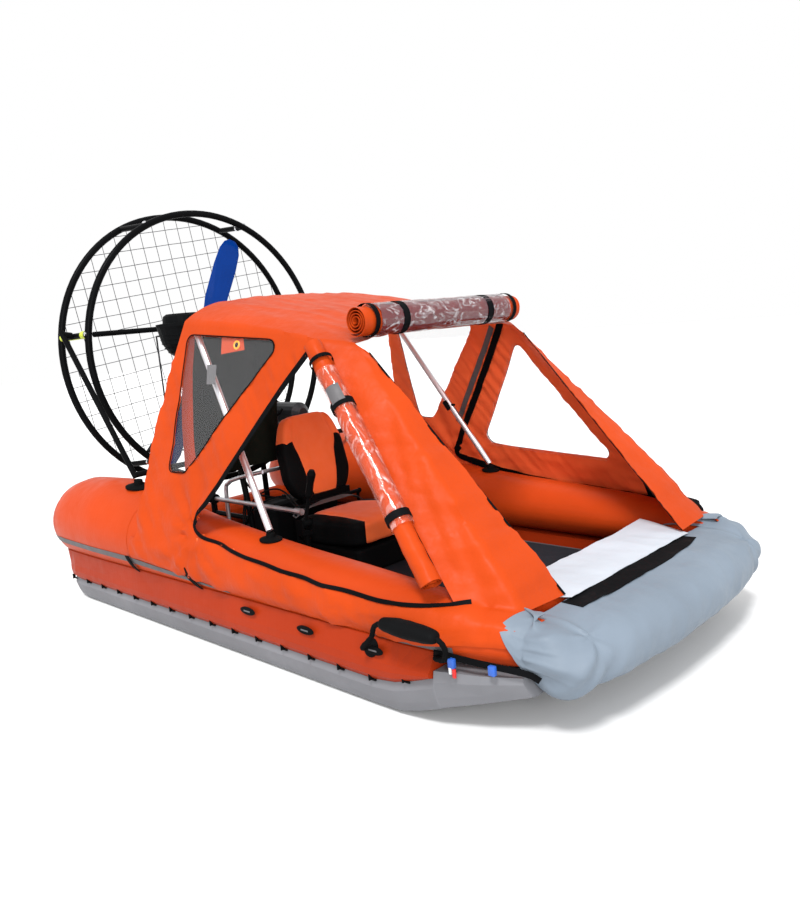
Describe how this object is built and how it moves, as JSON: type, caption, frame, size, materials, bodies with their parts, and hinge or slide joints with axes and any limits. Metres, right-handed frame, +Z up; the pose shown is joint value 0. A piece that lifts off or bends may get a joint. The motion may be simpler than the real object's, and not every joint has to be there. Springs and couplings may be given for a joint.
{
  "type": "inflatable airboat",
  "caption": "Inflatable airboat: tapered side tubes on a flat air-filled bottom, open-fronted fabric cabin, driver's seat with steering lever, petrol engine and caged pusher propeller.",
  "frame": {"origin": "on the ground under the middle of the boat's length and width", "axes": "+X to the bow, +Y to port, +Z up"},
  "size_m": [3.38, 1.8848, 1.9886],
  "materials": {
    "orange_hull": "satin coated fabric",
    "grey_hull": "satin coated fabric",
    "deck": "matt foam sheet",
    "cover_fabric": "woven",
    "flap_fabric": "woven",
    "orange_fabric": "coated woven",
    "clear_film": "clear soft film",
    "black_tube": "satin black",
    "black_plastic": "moulded",
    "black_rubber": "matt",
    "black_rope": "braided",
    "black_webbing": "woven tape",
    "grey_webbing": "woven tape",
    "aluminium": "polished tube",
    "engine_metal": "cast",
    "blade_blue": "gloss",
    "seat_orange": "velour",
    "seat_black": "coated",
    "net": "cord",
    "yellow_tape": "tape",
    "bright_metal": "polished"
  },
  "bodies": {
    "boat": {"hull_bottom": "grey_hull", "floor_deck": "deck", "side_skirt_port": "orange_hull", "side_skirt_starboard": "orange_hull", "main_tube_port": "orange_hull", "main_tube_starboard": "orange_hull", "bow_cover": "cover_fabric", "bow_tube": "orange_hull", "stern_tube": "orange_hull", "bow_flap": "flap_fabric", "carry_handle_port": "black_rope", "carry_handle_starboard": "black_rope", "canopy_side_port": "orange_fabric", "canopy_side_starboard": "orange_fabric", "rear_window_port": "clear_film", "rear_window_starboard": "clear_film", "canopy_skirt_port": "orange_fabric", "canopy_skirt_starboard": "orange_fabric", "canopy_pillar_port": "orange_fabric", "canopy_pillar_starboard": "orange_fabric", "canopy_door_port": "orange_fabric", "door_window_port": "clear_film", "canopy_roof": "orange_fabric", "windscreen_roll": "orange_fabric", "door_roll": "orange_fabric", "pole_pad_port": "black_rubber", "pole_pad_starboard": "black_rubber", "canopy_pole_port": "aluminium", "canopy_pole_starboard": "aluminium", "seat_base": "seat_black", "seat_cushion": "seat_orange", "lever_stand": "black_tube", "rod_guide": "black_tube", "rudder_post": "black_tube", "cage_front_ring": "black_tube", "cage_rear_ring": "black_tube", "cage_net": "net", "leg_pad_port": "black_rubber", "leg_pad_starboard": "black_rubber", "cage_leg_port": "black_tube", "cage_leg_starboard": "black_tube", "engine_frame": "black_tube", "engine_block": "engine_metal", "engine_cylinder": "engine_metal", "cage_arms": "black_tube", "air_box": "black_plastic", "silencer": "engine_metal", "fuel_tank": "black_plastic"},
    "propeller": {"propeller": "blade_blue"},
    "lever": {"steering_lever": "black_plastic"},
    "rod": {"push_rod": "aluminium"},
    "rudder": {"air_rudder": "black_plastic"},
    "seat_back": {"seat_back": "seat_orange"}
  },
  "joints": [
    {"name": "propeller_spin", "type": "hinge", "parent": "boat", "child": "propeller", "pos_m": [-1.21, 0, 1.227], "axis": [0.9991, 0, 0.0431], "continuous": true},
    {"name": "lever_rock", "type": "hinge", "parent": "boat", "child": "lever", "pos_m": [-0.01, -0.35, 0.43], "axis": [0, 1, 0], "range_deg": [-20, 20]},
    {"name": "rod_slide", "type": "slide", "parent": "boat", "child": "rod", "axis": [1, 0, 0], "range_m": [-0.02, 0.02]},
    {"name": "rudder_turn", "type": "hinge", "parent": "boat", "child": "rudder", "pos_m": [-1.43, 0, 0.61], "axis": [0, 0, 1], "range_deg": [-32, 32]},
    {"name": "seat_fold", "type": "hinge", "parent": "boat", "child": "seat_back", "pos_m": [-0.24, 0, 0.445], "axis": [0, 1, 0], "range_deg": [0, 95]}
  ],
  "couplings": [
    {"joint": "rod_slide", "follows": "lever_rock", "m_per_rad": 0.05},
    {"joint": "rudder_turn", "follows": "lever_rock", "ratio": 1.5}
  ]
}
